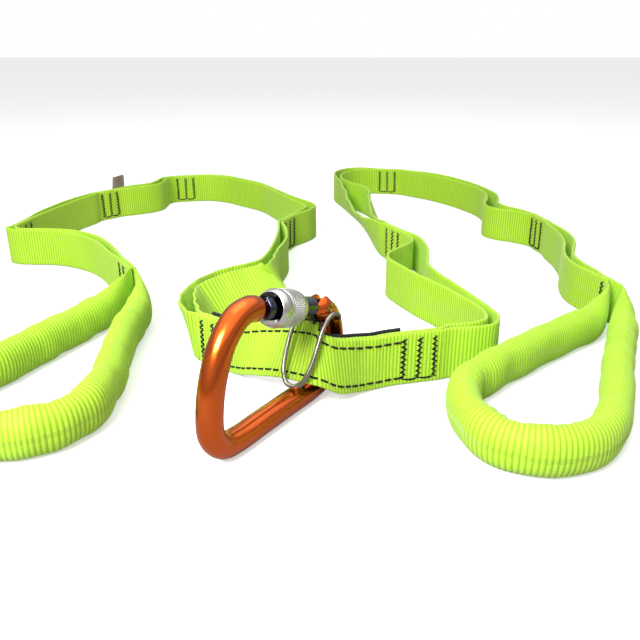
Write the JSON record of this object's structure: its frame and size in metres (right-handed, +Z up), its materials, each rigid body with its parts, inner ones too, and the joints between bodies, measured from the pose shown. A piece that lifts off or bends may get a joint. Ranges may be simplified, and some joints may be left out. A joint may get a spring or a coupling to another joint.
{
  "type": "foot-loop climbing strap with carabiner",
  "caption": "Two-armed foot-loop climbing strap of ribbed tubular webbing, sewn into pockets with bar tacks, with a screw-gate carabiner at its centre.",
  "frame": {"origin": "middle of the footprint, on the ground the strap stands on", "axes": "+X from the left arm to the right arm along the stitched bridge, +Y away from the foot loops, +Z up"},
  "size_m": [0.386, 0.511, 0.0597],
  "materials": {
    "webbing": "ribbed tubular nylon, slight sheen",
    "reinforcement": "woven black tape",
    "thread": "bonded nylon thread",
    "label": "printed-cloth tab, plain",
    "core": "soft cord filling, hidden",
    "orange_anodised": "polished orange anodising",
    "blue_anodised": "polished blue-black anodising",
    "bare_aluminium": "turned and knurled, clear anodised",
    "stainless": "drawn stainless wire and rod"
  },
  "bodies": {
    "strap": {"left_arm_inner_ply": "webbing", "left_arm_outer_ply": "webbing", "right_arm_inner_ply": "webbing", "right_arm_outer_ply": "webbing", "bridge_front_ply": "webbing", "bridge_back_ply": "webbing", "bridge_reinforcement": "reinforcement", "bridge_upper_stitching": "thread", "bridge_lower_stitching": "thread", "label_tab": "label", "left_throat_bar_tack": "thread", "left_outer_bar_tack": "thread", "left_bend_bar_tack": "thread", "left_label_bar_tack": "thread", "left_far_bar_tack": "thread", "left_near_bar_tack": "thread", "bridge_left_bar_tack": "thread", "bridge_right_bar_tack": "thread", "right_near_bar_tack": "thread", "right_far_bar_tack": "thread", "right_outer_bar_tack": "thread", "right_throat_bar_tack": "thread"},
    "left_foot_loop": {"left_loop_tube": "webbing", "left_loop_core": "core"},
    "right_foot_loop": {"right_loop_tube": "webbing", "right_loop_core": "core"},
    "carabiner": {"carabiner_body": "orange_anodised", "gate_hinge_pin": "stainless"},
    "gate": {"carabiner_gate": "blue_anodised", "gate_plunger": "stainless", "gate_spring": "stainless"},
    "thread": {"sleeve_thread_liner": "bare_aluminium"},
    "sleeve": {"gate_sleeve": "bare_aluminium"},
    "bail": {"wire_bail": "stainless"}
  },
  "joints": [
    {"name": "left_foot_loop_swing", "type": "hinge", "parent": "strap", "child": "left_foot_loop", "pos_m": [-0.08139, -0.0817, 0.01272], "axis": [0, 0, 1], "range_deg": [-15, 15]},
    {"name": "right_foot_loop_swing", "type": "hinge", "parent": "strap", "child": "right_foot_loop", "pos_m": [0.18231, -0.1016, 0.01272], "axis": [0, 0, 1], "range_deg": [0, 15]},
    {"name": "carabiner_swivel", "type": "hinge", "parent": "strap", "child": "carabiner", "pos_m": [0.01691, -0.1969, 0.01272], "axis": [0, 0, 1], "range_deg": [-10, 8]},
    {"name": "gate_hinge", "type": "hinge", "parent": "carabiner", "child": "gate", "pos_m": [0.02452, -0.18504, 0.04062], "axis": [0.8387, -0.5446, 0], "range_deg": [0, 24], "stiffness_Nm_per_rad": 0.15, "springref_deg": -28.65},
    {"name": "sleeve_travel", "type": "slide", "parent": "gate", "child": "thread", "axis": [-0.5217, -0.8033, 0.2874], "range_m": [0, 0.01]},
    {"name": "sleeve_turn", "type": "hinge", "parent": "thread", "child": "sleeve", "pos_m": [0.02452, -0.18504, 0.04062], "axis": [-0.5217, -0.8033, 0.2874], "range_deg": [0, 1440]},
    {"name": "wire_bail_swing", "type": "hinge", "parent": "carabiner", "child": "bail", "pos_m": [0.02801, -0.17967, 0.03472], "axis": [-0.8387, 0.5446, 0], "range_deg": [0, 20]}
  ]
}
